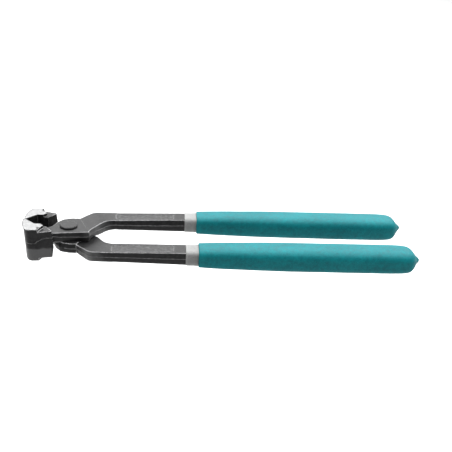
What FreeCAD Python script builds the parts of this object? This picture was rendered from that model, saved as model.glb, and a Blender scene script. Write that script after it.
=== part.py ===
import FreeCAD, Part
import Sketcher
import os

from FreeCAD import Placement, Rotation, Vector

# Hoof nipper, 382 mm long: two forged halves crossing in a lap joint and turning on a rivet.
#
# Frame: origin on the pivot axis, midway between the two lap plates. +X runs toward the handles,
# +Z is up along the pivot, and the jaws point to -X. Lengths are in millimetres.

DRIVING = {
    "jaw_front": 43.0,  # pivot to the front face of the jaws
    "jaw_half_width": 16.9,  # half the cutting width, along Z
    "jaw_side": 24.8,  # pivot line to the outer side of a jaw
    "lip": 2.2,  # how far the ground end of a jaw stands out in front of its mid-height
    "rim": 1.6,  # depth of that end's overhanging rim
    "jaw_lean": 0.4,  # how far the outer side leans in at the plate-side end of a jaw
    "low_lean": 2.2,  # the same at the free end
    "jaw_break": -3.0,  # height where the outer side starts to lean toward the free end
    "blade_gap": 0.1,  # each cutting land stands this far from the meeting plane
    "land": 1.3,  # length of the cutting land
    "mouth_half": 10.0,  # half the opening behind the blades
    "mouth_start": 31.0,  # pivot to where the blades reach full mouth width
    "heel_half_width": 14.0,  # half width of the stepped-down heel, along Z
    "heel_back": 11.0,  # pivot to the back corner of the heel, at mid-height
    "heel_draft": 2.2,  # how far that corner leans in at the heel's top
    "plate_thick": 10.0,
    "face_gap": 0.05,  # each lap face stands this far from the mid-plane
    "side_draft": 0.8,  # forging draft of the sides of a lever, above mid-height
    "low_draft": 0.3,  # the same below mid-height
    "plate_taper": 9.0,  # the same draft round the lap plate, in degrees
    "rivet_radius": 5.5,
    "running_gap": 0.05,  # radial play of the rivet in the upper half
    "head_radius": 8.5,
    "head_high": 1.9,
    "head_bevel": 0.8,
    "rein_centre": 34.4,  # rein centre line from the tool's long axis, at the bend
    "grip_centre": 35.6,  # the same along the grips
    "rein_wide": 19.2,
    "rein_thick_front": 12.6,  # thickness where the dip begins
    "steel_wide": 24.0,  # rein hidden inside the thickest part of the grip
    "steel_thick": 16.0,
    "bend_end": 46.0,  # end of the bend that brings the rein to mid-height
    "bend_high": 5.4,  # the rein's upper and lower faces there
    "bend_low": 4.8,
    "dip_start": 113.0,  # pivot to the edge of the pale first dip
    "grip_start": 125.0,
    "swell_at": 262.0,  # thickest part of the grip
    "steel_end": 326.0,
    "tip": 339.6,
    "dip_skin": 1.3,
    "grip_wide_front": 25.6,
    "grip_thick_front": 18.6,
    "grip_wide": 31.4,
    "grip_thick": 22.8,
    "grip_wide_end": 27.4,
    "grip_thick_end": 20.0,
    "panel_long": 58.0,  # blank panel sunk in both faces of each rein
    "panel_wide": 12.0,
    "panel_deep": 0.3,
    "panel_at": 72.5,
}

doc = FreeCAD.newDocument("hoof_nipper")
sheet = doc.addObject("Spreadsheet::Sheet", "dims")
for row, (alias, size) in enumerate(DRIVING.items(), start=1):
    sheet.set(f"A{row}", alias)
    sheet.set(f"B{row}", str(size))
    sheet.setAlias(f"B{row}", alias)
doc.recompute()

ALONG = Vector(0, 0, 1)  # a plane's own normal
UPRIGHT = Vector(0, 1, 0)  # the second axis of a plane's sketch


def new_body(label):
    """A PartDesign body whose label names the sub-part."""
    body = doc.addObject("PartDesign::Body", label)
    body.Label = label
    return body


def new_sketch(body, name, plane, base=("0", "0", "0"), axis=ALONG, turn="0"):
    """A sketch on one of the body's origin planes, shifted and turned in that plane's own axes."""
    sketch = body.newObject("Sketcher::SketchObject", f"{body.Label}_{name}")
    support = next(part for part in body.Origin.OriginFeatures if part.Role == plane)
    sketch.AttachmentSupport = [(support, "")]
    sketch.MapMode = "FlatFace"
    start = Vector(*(sketch.evalExpression(term) for term in base))
    sketch.AttachmentOffset = Placement(start, Rotation(axis, float(sketch.evalExpression(turn))))
    for letter, term in zip("xyz", base):
        sketch.setExpression(f".AttachmentOffset.Base.{letter}", term)
    return sketch


def pin_point(sketch, edge, end, corner):
    """Fix one end of an edge at a corner, given as two expressions in the sheet's names."""
    for kind, letter, term in zip(("DistanceX", "DistanceY"), "xy", corner):
        value = sketch.evalExpression(term)
        mark = sketch.addConstraint(Sketcher.Constraint(kind, -1, 1, edge, end, value))
        sketch.renameConstraint(mark, f"corner{edge}_{letter}")
        sketch.setExpression(f"Constraints.corner{edge}_{letter}", term)


def draw_outline(sketch, corners, rounds=None):
    """Close a polygon through corners; rounds maps a corner's number to its radius."""
    spots = [Vector(*(sketch.evalExpression(term) for term in corner), 0) for corner in corners]
    count = len(spots)
    for edge, (first, second) in enumerate(zip(spots, spots[1:] + spots[:1])):
        sketch.addGeometry(Part.LineSegment(first, second), False)
    for edge in range(count):
        sketch.addConstraint(Sketcher.Constraint("Coincident", edge, 2, (edge + 1) % count, 1))
    for edge, corner in enumerate(corners):
        pin_point(sketch, edge, 1, corner)
    for corner, radius in (rounds or {}).items():
        sketch.fillet(corner, 1, radius, True, True)
    return sketch


def draw_circle(sketch, radius):
    """A circle on the sketch's origin with its radius bound to the sheet."""
    size = sketch.evalExpression(radius)
    sketch.addGeometry(Part.Circle(Vector(0, 0, 0), Vector(0, 0, 1), size), False)
    sketch.addConstraint(Sketcher.Constraint("Coincident", 0, 3, -1, 1))
    sketch.addConstraint(Sketcher.Constraint("Radius", 0, size))
    sketch.renameConstraint(1, "radius")
    sketch.setExpression("Constraints.radius", radius)
    return sketch


def loft(body, name, sketches, ruled=True, kind="PartDesign::AdditiveLoft"):
    """A loft through the sketches in order, added to or taken from the body."""
    feature = body.newObject(kind, f"{body.Label}_{name}")
    feature.Profile = sketches[0]
    feature.Sections = sketches[1:]
    feature.Ruled = ruled
    doc.recompute()
    return feature


def pocket(body, name, sketch, upward, deep=None):
    """Cut the sketch through the body, toward the sketch's normal if upward."""
    feature = body.newObject("PartDesign::Pocket", f"{body.Label}_{name}")
    feature.Profile = sketch
    feature.Reversed = upward
    if deep is None:
        feature.Type = "ThroughAll"
    else:
        feature.Type = "Length"
        feature.setExpression("Length", deep)
    before = feature.BaseFeature.Shape.Volume
    doc.recompute()
    if feature.Shape.Volume >= before - 0.1:
        raise RuntimeError(f"{feature.Name} cuts nothing")
    return feature


def six_sided(body, name, base, wide, low, high, turn="0", skirt="0"):
    """An upright six-sided section across a lever: the sides lean in above and below mid-height.

    A skirt lets the side that faces the other half spread toward its lower edge.
    """
    sketch = new_sketch(body, name, "YZ_Plane", base, UPRIGHT, turn)
    side = f"({wide}) / 2"
    upper = f"({wide}) / 2 - dims.side_draft"
    lower = f"({wide}) / 2 - dims.low_draft"
    middle = f"({low} + {high}) / 2"
    corners = [
        (f"-({side} + {skirt} / 2)", middle),
        (f"-({upper})", high),
        (upper, high),
        (side, middle),
        (lower, low),
        (f"-({lower} + {skirt})", low),
    ]
    return draw_outline(sketch, corners)


def jaw_outline(body, level, height, front, lean, heel_lean):
    """Plan outline of the near jaw at one height: blade, rounded outer side and slanting heel."""
    sketch = new_sketch(body, f"jaw_{level}", "XY_Plane", ("0", "0", height))
    side = f"-dims.jaw_side + {lean}"
    corners = [
        (f"-dims.jaw_front + {front} + 0.5", "-dims.blade_gap"),
        (f"-dims.jaw_front + {front}", "-3"),
        (f"-dims.jaw_front + {front} + 0.9", "-14"),
        (f"-dims.jaw_front + {front} + 4.2", f"{side} + 1.6"),
        (f"-dims.jaw_front + {front} + 8", side),
        ("-26.6", f"{side} + 0.6"),
        (f"-dims.heel_back - {heel_lean}", f"-20.2 + {lean} / 2"),
        ("-20.6", "-dims.mouth_half"),
        ("-dims.mouth_start", "-dims.mouth_half"),
        (f"-dims.jaw_front + {front} * 0.6 + 0.5 + dims.land", "-dims.blade_gap"),
    ]
    return draw_outline(sketch, corners, {1: 6, 2: 20, 3: 6, 4: 5, 5: 20, 6: 1.2})


def add_jaw(body, end):
    """The jaw block: full cutting width in front, a step down to the heel behind it.

    The ground end with the overhanging rim is up if end is 1, down if end is -1.
    """
    tip = "dims.jaw_half_width"
    draft = "dims.heel_draft"
    levels = [
        jaw_outline(body, "low", f"-{end} * {tip}", "dims.lip + 0.5", "dims.low_lean", draft),
        jaw_outline(body, "middle", f"{end} * dims.jaw_break", "dims.lip", "0", "0"),
        jaw_outline(body, "rim", f"{end} * ({tip} - dims.rim)", "dims.lip / 2", "dims.jaw_lean", draft),
        jaw_outline(body, "high", f"{end} * {tip}", f"(1 - {end}) * 0.35", "dims.jaw_lean", draft),
    ]
    loft(body, "jaw", levels)
    step = [
        ("-27", "-30"),
        ("-25.9", "-21.5"),
        ("-23.8", "-16.4"),
        ("-22.1", "-13.9"),
        ("-25.2", "-10.4"),
        ("-24.6", "-8"),
        ("0", "-8"),
        ("0", "-30"),
    ]
    for name, sign, upward in (("step_top", "1", True), ("step_bottom", "-1", False)):
        height = f"{sign} * dims.heel_half_width"
        sketch = new_sketch(body, name, "XY_Plane", ("0", "0", height))
        pocket(body, f"{name}_cut", draw_outline(sketch, step), upward)


def add_plate(body):
    """The lap plate: round toward the other half's heel, straight on the near side."""
    middle = "(dims.plate_thick + dims.face_gap) / 2"
    sketch = new_sketch(body, "plate", "XY_Plane", ("0", "0", middle))
    corners = [
        ("-13", "-16.7"),
        ("22", "-12.6"),
        ("9.2", "18.6"),
        ("1.5", "18.6"),
        ("-7", "15.8"),
        ("-12.2", "9"),
        ("-15.6", "0.5"),
        ("-19", "-3.2"),
        ("-23.5", "-3.6"),
        ("-27", "-11"),
        ("-24", "-19"),
    ]
    draw_outline(sketch, corners, {1: 1.5, 3: 12, 4: 6, 5: 12, 6: 6, 7: 2})
    pad = body.newObject("PartDesign::Pad", f"{body.Label}_plate_pad")
    pad.Profile = sketch
    pad.SideType = "Two sides"
    for side in ("", "2"):
        pad.setExpression(f"Length{side}", "(dims.plate_thick - dims.face_gap) / 2")
        pad.setExpression(f"TaperAngle{side}", "-dims.plate_taper")
    doc.recompute()


def add_lever(body):
    """The bend from the plate up to mid-height, then the straight rein to its hidden end."""
    plate = ("dims.face_gap", "dims.plate_thick")
    front = "dims.rein_thick_front / 2"
    inner = "dims.steel_thick / 2"
    rein_root = (
        ("dims.rein_centre - 0.8", "0", "dims.bend_end"),
        "dims.rein_wide",
        "-dims.bend_low",
        "dims.bend_high",
    )
    bend = [
        ("root", ("3", "0", "14.2"), "31.2", *plate, "23.9"),
        ("shoulder", ("13.2", "0", "20.6"), "28.6", *plate, "22.4"),
        ("ramp", ("20.6", "0", "25"), "28", "-1.4", "9.2", "19.8", "1"),
        ("rise", ("27", "0", "28.8"), "24.6", "-2.6", "7.6", "20", "1.6"),
        ("level", ("31.3", "0", "34.3"), "21", "-3.9", "6.3", "15.8", "1"),
        ("knee", ("33.1", "0", "40"), "19.7", "-4.5", "5.7", "8.7"),
        ("end", *rein_root),
    ]
    sections = [six_sided(body, f"bend_{spot[0]}", *spot[1:]) for spot in bend]
    loft(body, "bend", sections, ruled=False)
    straight = [
        ("start", *rein_root),
        ("dip", ("dims.grip_centre", "0", "dims.dip_start"), "dims.rein_wide - 1", f"-({front})", front),
        ("swell", ("dims.grip_centre", "0", "dims.swell_at"), "dims.steel_wide", f"-({inner})", inner),
        ("end", ("dims.grip_centre", "0", "dims.steel_end"), "dims.steel_wide - 4", f"-({front})", front),
    ]
    sections = [six_sided(body, f"rein_{spot[0]}", *spot[1:]) for spot in straight]
    loft(body, "rein", sections)


def add_panel(body, name, start, sign, upward):
    """A shallow blank panel sunk in one face of the rein, parallel to that face."""
    rise = f"(dims.rein_thick_front / 2 - {start}) / (dims.dip_start - dims.bend_end)"
    height = f"{sign} * ({start} + {rise} * (dims.panel_at - dims.bend_end) - dims.panel_deep)"
    base = ("dims.panel_at", "dims.rein_centre - 0.3", height)
    sketch = new_sketch(body, f"panel_{name}", "XY_Plane", base, UPRIGHT, f"-({sign}) * atan({rise})")
    side = "dims.panel_long / 2"
    half = "dims.panel_wide / 2"
    corners = [(f"-{side}", f"-{half}"), (side, f"-{half}"), (side, half), (f"-{side}", half)]
    draw_outline(sketch, corners, {number: 2 for number in range(4)})
    pocket(body, f"panel_{name}_cut", sketch, upward)


def forged_half(label, bore, end):
    """One forging: jaw, lap plate, bend and rein in a single piece."""
    body = new_body(label)
    add_jaw(body, end)
    add_plate(body)
    add_lever(body)
    sketch = draw_circle(new_sketch(body, "bore", "XY_Plane"), bore)
    pocket(body, "bore_cut", sketch, True)
    add_panel(body, "high", "dims.bend_high", "1", True)
    add_panel(body, "low", "dims.bend_low", "-1", False)
    return body


def add_rivet(label):
    """The pivot rivet: a shank with one flat head on each face of the joint."""
    body = new_body(label)
    bottom = "-(dims.plate_thick + dims.head_high)"
    top = "dims.plate_thick + dims.face_gap + dims.head_high"
    corners = [
        ("0", bottom),
        ("dims.head_radius - dims.head_bevel", bottom),
        ("dims.head_radius", f"{bottom} + dims.head_bevel"),
        ("dims.head_radius", "-dims.plate_thick"),
        ("dims.rivet_radius", "-dims.plate_thick"),
        ("dims.rivet_radius", "dims.plate_thick + dims.face_gap"),
        ("dims.head_radius", "dims.plate_thick + dims.face_gap"),
        ("dims.head_radius", f"{top} - dims.head_bevel"),
        ("dims.head_radius - dims.head_bevel", top),
        ("0", top),
    ]
    sketch = draw_outline(new_sketch(body, "profile", "XZ_Plane"), corners)
    turned = body.newObject("PartDesign::Revolution", f"{label}_turned")
    turned.Profile = sketch
    turned.ReferenceAxis = (sketch, ["V_Axis"])
    turned.Angle = 360
    doc.recompute()
    return body


def steel_section(body, name, where, wide, thick, grown="0"):
    """A section of the straight rein, or of a layer that stands a given skin outside it."""
    half = f"({thick}) / 2 + {grown}"
    place = ("dims.grip_centre", "0", where)
    return six_sided(body, name, place, f"{wide} + 2 * {grown}", f"-({half})", half)


def hidden_rein(body, name, grown, end):
    """The three sections of the dipped stretch of rein, from the dip's edge to the steel's end."""
    front = "dims.rein_thick_front"
    spots = [
        ("dip", "dims.dip_start", "dims.rein_wide - 1", front),
        ("swell", "dims.swell_at", "dims.steel_wide", "dims.steel_thick"),
        ("end", end, "dims.steel_wide - 4", front),
    ]
    return [steel_section(body, f"{name}_{place}", *sizes, grown) for place, *sizes in spots]


def add_undercoat(label):
    """The pale first dip: a thin skin over the rein, closed at the steel's end."""
    body = new_body(label)
    loft(body, "skin", hidden_rein(body, "outer", "dims.dip_skin", "dims.steel_end + dims.dip_skin"))
    inner = hidden_rein(body, "inner", "0", "dims.steel_end")
    loft(body, "core", inner, kind="PartDesign::SubtractiveLoft")
    return body


def rounded_section(body, name, where, wide, thick):
    """An upright rounded rectangle across the grip; its corners take most of the thickness."""
    sketch = new_sketch(body, name, "YZ_Plane", ("dims.grip_centre", "0", where))
    side = f"({wide}) / 2"
    half = f"({thick}) / 2"
    corners = [(f"-({side})", f"-({half})"), (side, f"-({half})"), (side, half), (f"-({side})", half)]
    radius = 0.62 * sketch.evalExpression(half)
    return draw_outline(sketch, corners, {number: radius for number in range(4)})


def add_grip(label):
    """The thick outer dip: blunt front edge, long swell, blunt end drawn out to a drip nib."""
    body = new_body(label)
    swell = [
        ("front", "dims.grip_start", "dims.grip_wide_front", "dims.grip_thick_front"),
        ("rise", "dims.grip_start + 32", "dims.grip_wide - 3.4", "dims.grip_thick - 2.2"),
        ("belly", "dims.grip_start + 75", "dims.grip_wide - 1", "dims.grip_thick - 0.6"),
        ("full", "dims.swell_at", "dims.grip_wide", "dims.grip_thick"),
        ("fall", "dims.tip - 33", "dims.grip_wide - 0.4", "dims.grip_thick - 0.2"),
        ("close", "dims.tip - 19", "dims.grip_wide_end + 3", "dims.grip_thick_end + 2.2"),
        ("end", "dims.tip - 10", "dims.grip_wide_end - 0.8", "dims.grip_thick_end - 0.2"),
    ]
    loft(body, "swell", [rounded_section(body, *spot) for spot in swell], ruled=False)
    nib = [
        ("nib_root", "dims.tip - 10", "dims.grip_wide_end - 0.8", "dims.grip_thick_end - 0.2"),
        ("nib_neck", "dims.tip - 6.8", "dims.grip_wide_end - 8.6", "dims.grip_thick_end - 6.2"),
        ("nib_cone", "dims.tip - 3.6", "dims.grip_wide_end - 16", "dims.grip_thick_end - 11.6"),
        ("nib_tip", "dims.tip", "dims.grip_wide_end - 24.6", "dims.grip_thick_end - 17.6"),
    ]
    loft(body, "nib", [rounded_section(body, *spot) for spot in nib])
    inner = hidden_rein(body, "core", "dims.dip_skin", "dims.steel_end + dims.dip_skin")
    loft(body, "hollow", inner, kind="PartDesign::SubtractiveLoft")
    return body


upper = forged_half("upper_half", "dims.rivet_radius + dims.running_gap", 1)
lower = forged_half("lower_half", "dims.rivet_radius", -1)
rivet = add_rivet("pivot_rivet")
upper_coats = [add_undercoat("upper_undercoat"), add_grip("upper_grip")]
lower_coats = [add_undercoat("lower_undercoat"), add_grip("lower_grip")]
for piece in (lower, *lower_coats):
    piece.Placement = Placement(Vector(0, 0, 0), Rotation(Vector(1, 0, 0), 180))
doc.recompute()

PARTS = [upper, lower, rivet, *upper_coats, *lower_coats]
os.makedirs("parts", exist_ok=True)
for thing in doc.Objects:
    if {"Invalid", "Error"} & set(thing.State):
        raise RuntimeError(f"{thing.Name} failed: {thing.State}")
for piece in PARTS:
    if piece.Shape.isNull() or not piece.Shape.isValid():
        raise RuntimeError(f"{piece.Label} has no valid shape")
    volume = round(piece.Shape.Volume / 1000, 2)
    print(piece.Label, len(piece.Shape.Solids), volume, piece.Shape.BoundBox)
    piece.Shape.exportStep(f"parts/{piece.Label}.step")
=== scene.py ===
import math

import bmesh
import bpy
from mathutils import Matrix, Vector, noise
from mathutils.bvhtree import BVHTree


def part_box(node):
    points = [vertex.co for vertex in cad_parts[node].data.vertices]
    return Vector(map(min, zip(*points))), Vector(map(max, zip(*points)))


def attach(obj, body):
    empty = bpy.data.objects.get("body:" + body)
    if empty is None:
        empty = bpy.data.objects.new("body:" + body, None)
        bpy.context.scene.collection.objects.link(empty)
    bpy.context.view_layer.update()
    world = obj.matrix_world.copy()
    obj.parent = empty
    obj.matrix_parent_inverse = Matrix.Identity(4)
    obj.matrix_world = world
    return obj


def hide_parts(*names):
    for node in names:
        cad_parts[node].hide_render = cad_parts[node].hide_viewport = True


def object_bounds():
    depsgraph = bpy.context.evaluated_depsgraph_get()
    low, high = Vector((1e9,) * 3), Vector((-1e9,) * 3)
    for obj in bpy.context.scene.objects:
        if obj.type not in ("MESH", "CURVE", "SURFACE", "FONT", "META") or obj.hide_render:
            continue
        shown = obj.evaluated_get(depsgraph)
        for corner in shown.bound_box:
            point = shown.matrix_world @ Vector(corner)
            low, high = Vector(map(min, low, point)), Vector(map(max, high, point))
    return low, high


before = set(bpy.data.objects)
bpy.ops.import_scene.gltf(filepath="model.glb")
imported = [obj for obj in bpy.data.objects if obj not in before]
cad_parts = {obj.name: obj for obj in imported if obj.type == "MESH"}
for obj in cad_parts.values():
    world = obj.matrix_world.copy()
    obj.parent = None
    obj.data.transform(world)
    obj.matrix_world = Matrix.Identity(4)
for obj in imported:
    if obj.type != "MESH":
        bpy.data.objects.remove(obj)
CAD_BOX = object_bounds()
MM = 0.001
SIDES = {"upper": 1, "lower": -1}  # which side of the middle plane each lever's handle lies on

# Steel tones.
BLACK = (0.0066, 0.0067, 0.0070, 1)
SCALE = (0.016, 0.016, 0.0166, 1)
# Pale tone of the rubbed edges, also painted as edge highlights.
RUB_AND_HIGHLIGHT = (0.62, 0.62, 0.63, 1)
PIT = (0.004, 0.004, 0.004, 1)
# Painted light: lightens the lower jaws and paints a highlight on the bends.
PAINTED_LIGHT_GREY = (0.075, 0.075, 0.076, 1)
WORN = (0.060, 0.060, 0.061, 1)
# Rivet edges: rubbed, also painted edge highlights.
RIVET_RUB_AND_HIGHLIGHT = (0.12, 0.12, 0.122, 1)
# Seam tones: lighter than the forging, a painted highlight along the seam ridge.
SEAM_HIGHLIGHT_TONE = (0.050, 0.050, 0.052, 1)
SEAM_HIGHLIGHT_SCALE = (0.10, 0.10, 0.10, 1)
SEAM_RUB_AND_HIGHLIGHT = (0.14, 0.14, 0.14, 1)
SILVER_LOW = (0.115, 0.116, 0.118, 1)
SILVER_HIGH = (0.20, 0.20, 0.20, 1)

# Dip tones.
TEAL_DEEP, TEAL_PALE = (0.0004, 0.078, 0.090, 1), (0.0008, 0.150, 0.168, 1)
SLEEVE_DEEP, SLEEVE_PALE = (0.175, 0.177, 0.175, 1), (0.19, 0.192, 0.19, 1)

EDGE_RADIUS = 1.6 * MM
PANEL_AT = 72.5 * MM  # middle of the sunk panels along the tool
PANEL_SIDE = 34.8 * MM  # and from its long axis
SEAM_HALF_WIDTH = 0.55 * MM
SEAM_RISE = 0.26 * MM
SEAM_STEP = 0.8 * MM
RAY_START = 90 * MM  # sideways from the long axis, well outside the tool
GRIP_LENGTH = 214.6 * MM
FLOOR_DROP = 0.15  # the floor lies well below the tool, so that no hard shadow shows
FLOOR_REACH = 20  # metres from its middle to each edge


# ---------------------------------------------------------------- materials

def new_material(name):
    material = bpy.data.materials.new(name)
    material.use_nodes = True
    tree = material.node_tree
    tree.nodes.clear()
    output = tree.nodes.new("ShaderNodeOutputMaterial")
    shader = tree.nodes.new("ShaderNodeBsdfPrincipled")
    tree.links.new(shader.outputs["BSDF"], output.inputs["Surface"])
    return material, tree, shader


def put(tree, socket, value):
    """Links a socket, or sets a plain value."""
    if isinstance(value, bpy.types.NodeSocket):
        tree.links.new(value, socket)
    else:
        socket.default_value = value


def place(tree):
    """Object-space position, in metres."""
    return tree.nodes.new("ShaderNodeTexCoord").outputs["Object"]


def stretched(tree, vector, scale):
    node = tree.nodes.new("ShaderNodeMapping")
    node.inputs["Scale"].default_value = scale
    tree.links.new(vector, node.inputs["Vector"])
    return node.outputs["Vector"]


def noise_of(tree, vector, scale, detail=4.0, rough=0.55, warp=0.0):
    node = tree.nodes.new("ShaderNodeTexNoise")
    put(tree, node.inputs["Vector"], vector)
    node.inputs["Scale"].default_value = scale
    node.inputs["Detail"].default_value = detail
    node.inputs["Roughness"].default_value = rough
    node.inputs["Distortion"].default_value = warp
    return node.outputs["Fac"]


def cells_of(tree, vector, scale):
    node = tree.nodes.new("ShaderNodeTexVoronoi")
    put(tree, node.inputs["Vector"], vector)
    node.inputs["Scale"].default_value = scale
    return node.outputs["Distance"]


def remap(tree, value, low, high, to_low=0.0, to_high=1.0, smooth=False):
    node = tree.nodes.new("ShaderNodeMapRange")
    node.interpolation_type = "SMOOTHSTEP" if smooth else "LINEAR"
    put(tree, node.inputs["Value"], value)
    node.inputs["From Min"].default_value = low
    node.inputs["From Max"].default_value = high
    node.inputs["To Min"].default_value = to_low
    node.inputs["To Max"].default_value = to_high
    return node.outputs["Result"]


def maths(tree, kind, first, second=0.0):
    node = tree.nodes.new("ShaderNodeMath")
    node.operation = kind
    put(tree, node.inputs[0], first)
    put(tree, node.inputs[1], second)
    return node.outputs[0]


def times(tree, first, second):
    return maths(tree, "MULTIPLY", first, second)


def absolute(tree, value):
    return maths(tree, "ABSOLUTE", value)


def parts_of(tree, vector):
    """The X, Y and Z of a vector."""
    node = tree.nodes.new("ShaderNodeSeparateXYZ")
    tree.links.new(vector, node.inputs[0])
    return node.outputs["X"], node.outputs["Y"], node.outputs["Z"]


def upward(tree):
    """How level a face is: 1 facing straight up or down, 0 upright."""
    face = tree.nodes.new("ShaderNodeNewGeometry")
    return absolute(tree, parts_of(tree, face.outputs["True Normal"])[2])


def ragged(tree, spot, scale, detail, rough, reach):
    """A wandering offset, to half the reach either way."""
    return times(tree, maths(tree, "SUBTRACT", noise_of(tree, spot, scale, detail, rough), 0.5), reach)


def blend_of(tree, share, first, second):
    node = tree.nodes.new("ShaderNodeMix")
    node.data_type = "RGBA"
    put(tree, node.inputs["Factor"], share)
    put(tree, node.inputs["A"], first)
    put(tree, node.inputs["B"], second)
    return node.outputs["Result"]


def bump_of(tree, height, distance, strength, normal=None):
    node = tree.nodes.new("ShaderNodeBump")
    node.inputs["Distance"].default_value = distance
    node.inputs["Strength"].default_value = strength
    put(tree, node.inputs["Height"], height)
    if normal is not None:
        tree.links.new(normal, node.inputs["Normal"])
    return node.outputs["Normal"]


def softened(tree, radius):
    """A normal that rolls over the hard edges, and a mask that is 1 along them."""
    bevel = tree.nodes.new("ShaderNodeBevel")
    bevel.samples = 6
    bevel.inputs["Radius"].default_value = radius
    flat = tree.nodes.new("ShaderNodeNewGeometry")
    dot = tree.nodes.new("ShaderNodeVectorMath")
    dot.operation = "DOT_PRODUCT"
    tree.links.new(bevel.outputs["Normal"], dot.inputs[0])
    tree.links.new(flat.outputs["Normal"], dot.inputs[1])
    return bevel.outputs["Normal"], remap(tree, dot.outputs["Value"], 0.985, 0.8)


def panel_mask(tree, spot):
    """1 over the sunk panels on the reins."""
    x, y, _ = parts_of(tree, spot)
    off_x = absolute(tree, maths(tree, "SUBTRACT", x, PANEL_AT))
    off_y = absolute(tree, maths(tree, "SUBTRACT", absolute(tree, y), PANEL_SIDE))
    return times(tree, remap(tree, off_x, 31.0 * MM, 29.5 * MM), remap(tree, off_y, 7.2 * MM, 6.4 * MM))


def mouth_mask(tree, spot):
    """1 around the mouth between the jaws, where the rubbed edges and painted edge highlights are toned
    down.
    """
    x, y, _ = parts_of(tree, spot)
    inside = remap(tree, absolute(tree, y), 15.5 * MM, 14.0 * MM)
    return times(tree, inside, remap(tree, x, -12 * MM, -14 * MM))


def bend_highlight_mask(tree, spot):
    """Up to 1 on the upright sides of the bends, where a highlight is painted, fading out towards the plate
    and along the rein.
    """
    x, _, _ = parts_of(tree, spot)
    upright = remap(tree, upward(tree), 0.45, 0.25)
    start = remap(tree, x, 12 * MM, 24 * MM, smooth=True)
    end = remap(tree, x, 42 * MM, 22 * MM, smooth=True)
    return times(tree, upright, times(tree, start, end))


def floor_light_mask(tree, spot):
    """Up to 0.85 on the lower part of the jaws, lightened as painted light from the bright floor below."""
    x, _, z = parts_of(tree, spot)
    wander = ragged(tree, spot, 200, 3, 0.5, 4 * MM)
    below = remap(tree, maths(tree, "ADD", z, wander), -2.2 * MM, -4.2 * MM)
    jaw = remap(tree, x, -12.5 * MM, -15 * MM)
    return times(tree, times(tree, below, jaw), 0.85)


def ground_mask(tree, spot):
    """1 on the level ground ends of the jaws, apart from an untouched patch at the outer corner."""
    x, y, z = parts_of(tree, spot)
    flat = remap(tree, upward(tree), 0.9, 0.97)
    high = remap(tree, absolute(tree, z), 16.4 * MM, 16.7 * MM)
    wander = ragged(tree, spot, 330, 2, 0.4, 3.4 * MM)
    back = remap(tree, maths(tree, "ADD", x, wander), -27.9 * MM, -27.5 * MM)
    outer = remap(tree, maths(tree, "ADD", absolute(tree, y), wander), 17.4 * MM, 17.8 * MM)
    patch = maths(tree, "SUBTRACT", 1.0, times(tree, back, outer))
    return times(tree, times(tree, flat, high), patch)


def wear_and_painted_light(tree, spot, dark, edge, patchy):
    """Lower jaws lightened as painted floor light, worn panels and a painted highlight on the bends;
    returns the new colour and the edge mask for rubbed edges and painted edge highlights.
    """
    # Painted light: the lower jaws are lightened as if lit from the floor.
    dark = blend_of(tree, floor_light_mask(tree, spot), dark, PAINTED_LIGHT_GREY)
    panel = panel_mask(tree, spot)
    grit = noise_of(tree, stretched(tree, spot, (420, 900, 900)), 1, 3, 0.6)
    dark = blend_of(tree, times(tree, panel, remap(tree, grit, 0.48, 0.62, 0, 0.8)), dark, WORN)
    edge = times(tree, edge, remap(tree, panel, 0, 1, 1.0, 0.5))
    edge = times(tree, edge, remap(tree, mouth_mask(tree, spot), 0, 1, 1.0, 0.3))
    # Painted highlight: the upright sides of the bends are lightened.
    bend_highlight = times(tree, bend_highlight_mask(tree, spot), remap(tree, patchy, 0.35, 0.6, 0.35, 1.0))
    return blend_of(tree, bend_highlight, dark, PAINTED_LIGHT_GREY), edge


def steel_material(name, base, scale_tone, rub_and_highlight_tone, ground):
    """Blackened forging: scale mottling, pitting, edges rubbed paler and painted with highlights; if
    ground, jaw ends cut bright.
    """
    material, tree, shader = new_material(name)
    spot = place(tree)
    soft, edge = softened(tree, EDGE_RADIUS)
    broad = noise_of(tree, spot, 45, 3, 0.5)
    patchy = noise_of(tree, spot, 130, 4, 0.6, 0.4)
    scale = noise_of(tree, spot, 420, 5, 0.6, 0.3)
    fine = noise_of(tree, spot, 2600, 3, 0.6)
    deep = tuple(0.45 * part for part in base[:3]) + (1,)
    dark = blend_of(tree, remap(tree, broad, 0.35, 0.65), deep, base)
    dark = blend_of(tree, remap(tree, patchy, 0.48, 0.7, 0, 0.6), dark, scale_tone)
    dark = blend_of(tree, remap(tree, scale, 0.46, 0.66), dark, scale_tone)
    dark = blend_of(tree, remap(tree, fine, 0.6, 0.74, 0, 0.6), dark, PIT)
    if ground:
        dark, edge = wear_and_painted_light(tree, spot, dark, edge, patchy)
    # Rubbed edges, also a painted highlight along every hard edge.
    rub_and_highlight = times(tree, edge, remap(tree, scale, 0.3, 0.6, 0.35, 1.0))
    colour = blend_of(tree, rub_and_highlight, dark, rub_and_highlight_tone)
    rough = remap(tree, scale, 0.3, 0.7, 0.34, 0.56)
    height = maths(tree, "ADD", times(tree, scale, 0.7), times(tree, fine, 0.3))
    put(tree, shader.inputs["Normal"], bump_of(tree, height, 0.18 * MM, 0.7, soft))
    shader.inputs["IOR"].default_value = 1.5
    shader.inputs["Specular IOR Level"].default_value = 0.16
    if ground:
        bright = ground_mask(tree, spot)
        lines = noise_of(tree, stretched(tree, spot, (500, 5000, 500)), 1, 3, 0.6)
        silver = blend_of(tree, remap(tree, lines, 0.35, 0.65), SILVER_LOW, SILVER_HIGH)
        colour = blend_of(tree, bright, colour, silver)
        rough = maths(tree, "ADD", times(tree, bright, -0.08), rough)
        put(tree, shader.inputs["Metallic"], bright)
    put(tree, shader.inputs["Base Color"], colour)
    put(tree, shader.inputs["Roughness"], rough)
    return material


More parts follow.
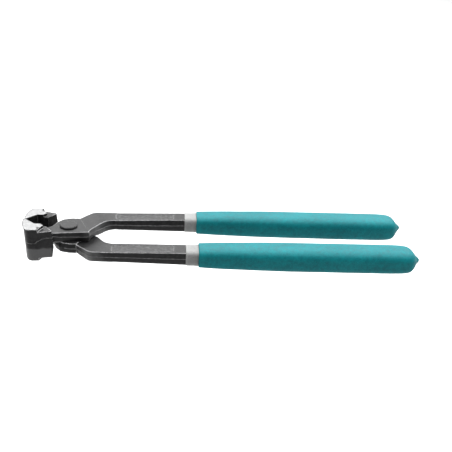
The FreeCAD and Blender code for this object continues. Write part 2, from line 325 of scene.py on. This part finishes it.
def dip_material(name, deep, pale, rough, grain, relief, gloss, under=0.0):
    """Dipped plastisol: a sanded matte skin with soft mottling, pores and, if under is set, some depth."""
    material, tree, shader = new_material(name)
    spot = place(tree)
    broad = noise_of(tree, stretched(tree, spot, (28, 60, 60)), 1, 3, 0.5)
    mottle = noise_of(tree, spot, 260, 3, 0.6, 0.2)
    pores = cells_of(tree, spot, grain)
    sand = noise_of(tree, spot, grain * 0.7, 3, 0.65)
    wide, small = remap(tree, broad, 0.3, 0.7, 0, 0.45), remap(tree, mottle, 0.3, 0.7, 0, 0.55)
    share = maths(tree, "ADD", wide, small)
    colour = blend_of(tree, share, deep, pale)
    colour = blend_of(tree, remap(tree, sand, 0.55, 0.72, 0, 0.8), colour, pale)
    # Painted shade: the hollows of the sanded grain are darkened.
    hollow_shade = tuple(0.6 * part for part in deep[:3]) + (1,)
    colour = blend_of(tree, remap(tree, sand, 0.47, 0.3, 0, 0.45), colour, hollow_shade)
    put(tree, shader.inputs["Base Color"], colour)
    put(tree, shader.inputs["Roughness"], remap(tree, mottle, 0.3, 0.7, rough - 0.05, rough + 0.07))
    height = maths(tree, "ADD", times(tree, sand, 0.6), times(tree, pores, 0.4))
    put(tree, shader.inputs["Normal"], bump_of(tree, height, relief, 0.8))
    shader.inputs["IOR"].default_value = 1.5
    shader.inputs["Specular IOR Level"].default_value = gloss
    shader.inputs["Subsurface Weight"].default_value = under
    shader.inputs["Subsurface Radius"].default_value = (1, 1, 1)
    shader.inputs["Subsurface Scale"].default_value = 12 * MM
    return material


# ---------------------------------------------------------------- mesh code

def ring_points(x, wide, thick, power, count=64):
    """A superellipse across the handle."""
    points = []
    for step in range(count):
        turn = 2 * math.pi * step / count
        across, up = math.cos(turn), math.sin(turn)
        y = math.copysign(abs(across) ** (2 / power), across) * wide / 2
        z = math.copysign(abs(up) ** (2 / power), up) * thick / 2
        points.append(Vector((x, y, z)))
    return points


def tube(name, rings):
    """A closed skin through rings of equal count, with one flat face at each end."""
    mesh = bpy.data.meshes.new(name)
    form = bmesh.new()
    rows = [[form.verts.new(point) for point in ring] for ring in rings]
    count = len(rows[0])
    for row, following in zip(rows, rows[1:]):
        for step in range(count):
            after = (step + 1) % count
            form.faces.new((row[step], row[after], following[after], following[step]))
    form.faces.new(list(reversed(rows[0])))
    form.faces.new(rows[-1])
    bmesh.ops.recalc_face_normals(form, faces=form.faces)
    form.to_mesh(mesh)
    form.free()
    mesh.polygons.foreach_set("use_smooth", [True] * len(mesh.polygons))
    piece = bpy.data.objects.new(name, mesh)
    bpy.context.scene.collection.objects.link(piece)
    return piece


def eased(stations, x):
    """Smooth interpolation of (x, wide, thick, power) rows."""
    last = len(stations) - 1
    for index in range(last):
        if x <= stations[index + 1][0] or index == last - 1:
            break
    here, there = stations[index], stations[index + 1]
    before, beyond = stations[max(index - 1, 0)], stations[min(index + 2, last)]
    span = there[0] - here[0]
    share = min(max((x - here[0]) / span, 0), 1)
    values = []
    for column in range(1, len(here)):
        slope_in = (there[column] - before[column]) / (there[0] - before[0]) * span
        slope_out = (beyond[column] - here[column]) / (beyond[0] - here[0]) * span
        t, t2, t3 = share, share ** 2, share ** 3
        values.append(
            (2 * t3 - 3 * t2 + 1) * here[column] + (t3 - 2 * t2 + t) * slope_in
            + (3 * t2 - 2 * t3) * there[column] + (t3 - t2) * slope_out
        )
    return values


def dipped(name, side, middle, stations, steps, ripple, seed):
    """A dipped skin along the handle, its surface gently uneven."""
    start, end = stations[0][0], stations[-1][0]
    even = {round(start + (end - start) * k / steps, 5) for k in range(steps + 1)}
    rings = []
    for x in sorted(even | {round(row[0], 5) for row in stations}):
        wide, thick, power = eased(stations, x)
        ring = ring_points(x, wide, thick, power)
        fade = min(1, max(0, wide / (12 * MM)))
        for point in ring:
            push = noise.noise(Vector((point.x * 55, point.y * 70 + seed, point.z * 70)))
            push += 0.4 * noise.noise(Vector((point.x * 260, point.y * 260 + seed, point.z * 260)))
            radial = Vector((0, point.y, point.z)).normalized()
            point += radial * push * ripple * fade
            point.y = (point.y + middle) * side
        rings.append(ring)
    return tube(name, rings)


def surface_line(node, side, from_side, route, spacing):
    """Points and outward normals where level lines across the tool first meet a CAD node."""
    tree = BVHTree.FromObject(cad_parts[node], bpy.context.evaluated_depsgraph_get())
    found = []
    start, end = route[0][0], route[-1][0]
    count = int((end - start) / spacing)
    for step in range(count + 1):
        x = start + (end - start) * step / count
        for (x1, z1), (x2, z2) in zip(route, route[1:]):
            if x1 <= x <= x2:
                share = (x - x1) / (x2 - x1)
                share = share * share * (3 - 2 * share)
                z = z1 + (z2 - z1) * share
                break
        origin = Vector((x, from_side * RAY_START, z * side))
        point, normal, _, _ = tree.ray_cast(origin, Vector((0, -from_side, 0)))
        if point is not None:
            found.append((point, normal))
    return found


def ridge(name, line, half_width, rise):
    """A thin raised seam laid along a line on the steel."""
    profile = [(-1.0, -0.8), (-0.55, 0.55), (0.0, 1.0), (0.55, 0.55), (1.0, -0.8)]
    rings = []
    for index, (point, normal) in enumerate(line):
        near = line[max(index - 2, 0):index + 3]
        ahead = (near[-1][0] - near[0][0]).normalized()
        out = sum((item[1] for item in near), Vector()).normalized()
        out = (out - ahead * out.dot(ahead)).normalized()
        up = ahead.cross(out)
        wobble = 1 + 0.35 * noise.noise(point * 240)
        shift = up * (0.25 * MM * noise.noise(point * 90 + Vector((5, 0, 0))))
        rings.append([
            point + shift + up * (across * half_width * wobble) + out * (lift * rise * wobble)
            for across, lift in profile
        ])
    return tube(name, rings)


# ---------------------------------------------------------------- finishes on the CAD nodes

steel = steel_material("forged_and_ground", BLACK, SCALE, RUB_AND_HIGHLIGHT, ground=True)
rivet_steel = steel_material("forged_rivet", BLACK, SCALE, RIVET_RUB_AND_HIGHLIGHT, ground=False)
# The seam ridges get a lighter finish, a painted highlight along them.
seam_highlight_steel = steel_material("forged_seam", SEAM_HIGHLIGHT_TONE, SEAM_HIGHLIGHT_SCALE, SEAM_RUB_AND_HIGHLIGHT, ground=False)
for node, finish in (("upper_half", steel), ("lower_half", steel), ("pivot_rivet", rivet_steel)):
    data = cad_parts[node].data
    data.materials.clear()
    data.materials.append(finish)

teal = dip_material(
    "teal_plastisol", TEAL_DEEP, TEAL_PALE, rough=0.55, grain=1300, relief=0.16 * MM, gloss=0.12
)
pale = dip_material(
    "pale_plastisol", SLEEVE_DEEP, SLEEVE_PALE, rough=0.45, grain=900, relief=0.04 * MM, gloss=0.12,
    under=1.0,
)

# ---------------------------------------------------------------- forging seams

# Course of the seams on the faces that look towards the other handle and away from it: (x, z) in mm.
INNER_SEAM = [
    (-38.5, 2.5), (-29.4, 2.5), (-25.4, 5.2), (-21.9, 6.8), (-16, 7.2), (-11.5, 6.2), (-6, 5.6), (20, 5.02),
    (26, 5.02), (29.7, 3.9), (33, 2.5), (37.2, 1.2), (41.5, 0.6), (46, 0.3), (114, 0),
]
OUTER_SEAM = [
    (-3, 5.02), (14.8, 5.02), (20.3, 3.9), (24.6, 2.5), (31.5, 1.2), (38.5, 0.6), (46, 0.3), (114, 0),
]
for label, side in SIDES.items():
    for where, route, from_side in (("inner", INNER_SEAM, -side), ("outer", OUTER_SEAM, side)):
        metres = [(x * MM, z * MM) for x, z in route]
        line = surface_line(f"{label}_half", side, from_side, metres, SEAM_STEP)
        seam = ridge(f"{label}_{where}_seam", line, SEAM_HALF_WIDTH, SEAM_RISE)
        seam.data.materials.append(seam_highlight_steel)
        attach(seam, f"{label}_lever")

# ---------------------------------------------------------------- dipped handles

for label, side in SIDES.items():
    low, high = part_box(f"{label}_grip")
    middle = abs(low.y + high.y) / 2
    tip = high.x
    start = tip - GRIP_LENGTH
    grip_rows = [
        (start, 22.0 * MM, 15.0 * MM, 3.2),
        (start + 0.25 * MM, 24.6 * MM, 17.6 * MM, 3.3),
        (start + 0.8 * MM, 25.6 * MM, 18.6 * MM, 3.4),
        (start + 32 * MM, 28.2 * MM, 20.8 * MM, 3.2),
        (start + 75 * MM, 30.4 * MM, 22.4 * MM, 3.1),
        (start + 137 * MM, 31.2 * MM, 22.8 * MM, 3.1),
        (tip - 34 * MM, 31.0 * MM, 22.7 * MM, 3.2),
        (tip - 20 * MM, 30.4 * MM, 22.4 * MM, 3.2),
        (tip - 13 * MM, 28.8 * MM, 21.4 * MM, 3.1),
        (tip - 9.6 * MM, 26.4 * MM, 19.6 * MM, 2.9),
        (tip - 7.0 * MM, 21.6 * MM, 16.0 * MM, 2.6),
        (tip - 5.0 * MM, 15.8 * MM, 11.4 * MM, 2.2),
        (tip - 3.6 * MM, 11.4 * MM, 8.2 * MM, 2.1),
        (tip - 2.2 * MM, 8.2 * MM, 6.0 * MM, 2.0),
        (tip - 0.9 * MM, 4.8 * MM, 3.6 * MM, 2.0),
        (tip - 0.1 * MM, 1.6 * MM, 1.4 * MM, 2.0),
    ]
    grip = dipped(
        f"{label}_teal_grip", side, middle, grip_rows, steps=220, ripple=0.12 * MM, seed=3.7 * side
    )
    grip.data.materials.append(teal)
    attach(grip, f"{label}_lever")
    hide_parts(f"{label}_grip")

    low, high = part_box(f"{label}_undercoat")
    begin = low.x
    coat_rows = [
        (begin, 19.0 * MM, 13.4 * MM, 5.0),
        (begin + 0.3 * MM, 20.6 * MM, 14.8 * MM, 4.6),
        (begin + 1.2 * MM, 21.2 * MM, 15.3 * MM, 4.4),
        (begin + 9 * MM, 21.4 * MM, 15.5 * MM, 4.4),
        (begin + 14 * MM, 21.6 * MM, 15.6 * MM, 4.4),
        (begin + 20 * MM, 21.6 * MM, 15.6 * MM, 4.4),
    ]
    coat = dipped(
        f"{label}_pale_sleeve", side, middle, coat_rows, steps=24, ripple=0.05 * MM, seed=9.1 * side
    )
    coat.data.materials.append(pale)
    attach(coat, f"{label}_lever")
    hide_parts(f"{label}_undercoat")

# ---------------------------------------------------------------- floor, light and camera


def floor_plane():
    """One pale square far below the tool."""
    mesh = bpy.data.meshes.new("floor")
    form = bmesh.new()
    bmesh.ops.create_grid(form, x_segments=1, y_segments=1, size=FLOOR_REACH)
    bmesh.ops.translate(form, verts=form.verts, vec=(0.15, 0, CAD_BOX[0].z - FLOOR_DROP))
    form.to_mesh(mesh)
    form.free()
    piece = bpy.data.objects.new("floor", mesh)
    bpy.context.scene.collection.objects.link(piece)
    material, tree, shader = new_material("pale_floor")
    shader.inputs["Base Color"].default_value = (0.54, 0.54, 0.54, 1)
    shader.inputs["Roughness"].default_value = 0.9
    shader.inputs["Specular IOR Level"].default_value = 0.1
    mesh.materials.append(material)


def soft_light(name, where, aim, size, power):
    """A square area light aimed at a point."""
    light = bpy.data.lights.new(name, "AREA")
    light.shape = "SQUARE"
    light.size = size
    light.energy = power
    lamp = bpy.data.objects.new(name, light)
    lamp.location = where
    lamp.rotation_mode = "QUATERNION"
    lamp.rotation_quaternion = (Vector(aim) - Vector(where)).to_track_quat("-Z", "Y")
    bpy.context.scene.collection.objects.link(lamp)


def studio():
    """Plain white surroundings, dimmer in front of the tool than behind it."""
    world = bpy.data.worlds.new("studio")
    bpy.context.scene.world = world
    world.use_nodes = True
    tree = world.node_tree
    back = tree.nodes["Background"]
    direction = tree.nodes.new("ShaderNodeTexCoord").outputs["Generated"]
    x, y, _ = parts_of(tree, direction)
    depth = remap(tree, y, -0.6, 0.7, 0.25, 1.1, smooth=True)
    sideways = remap(tree, x, -0.7, 0.7, 0.85, 1.25, smooth=True)
    tree.links.new(times(tree, depth, sideways), back.inputs["Strength"])
    back.inputs["Color"].default_value = (1, 1, 1, 1)


def camera():
    """Looks down on the tool from the near side, turned a little and rolled as the tool is held."""
    elevation, yaw, roll = math.radians(25.767), math.radians(5.449), math.radians(-3.774)
    distance, lens = 741.47 * MM, 60.55
    pivot_side, pivot_up = -153.13 * MM, -9.03 * MM  # where the pivot lies from the centre of view
    rise, run = math.sin(elevation), math.cos(elevation)
    tilt = Matrix(((1, 0, 0), (0, rise, run), (0, -run, rise)))
    back = (Matrix.Rotation(roll, 3, "Z") @ tilt @ Matrix.Rotation(yaw, 3, "Z")).transposed()
    data = bpy.data.cameras.new("view")
    data.lens = lens
    data.sensor_width = 36
    eye = bpy.data.objects.new("view", data)
    eye.matrix_world = Matrix.Translation(back @ Vector((-pivot_side, -pivot_up, distance))) @ back.to_4x4()
    data.clip_start, data.clip_end = 0.01, 20
    bpy.context.scene.collection.objects.link(eye)
    bpy.context.scene.camera = eye


floor_plane()
studio()
soft_light("overhead", where=(0.15, 0.75, 1.70), aim=(0.15, 0.1, 0), size=3.6, power=225)
camera()
bpy.context.scene.view_settings.view_transform = "Standard"
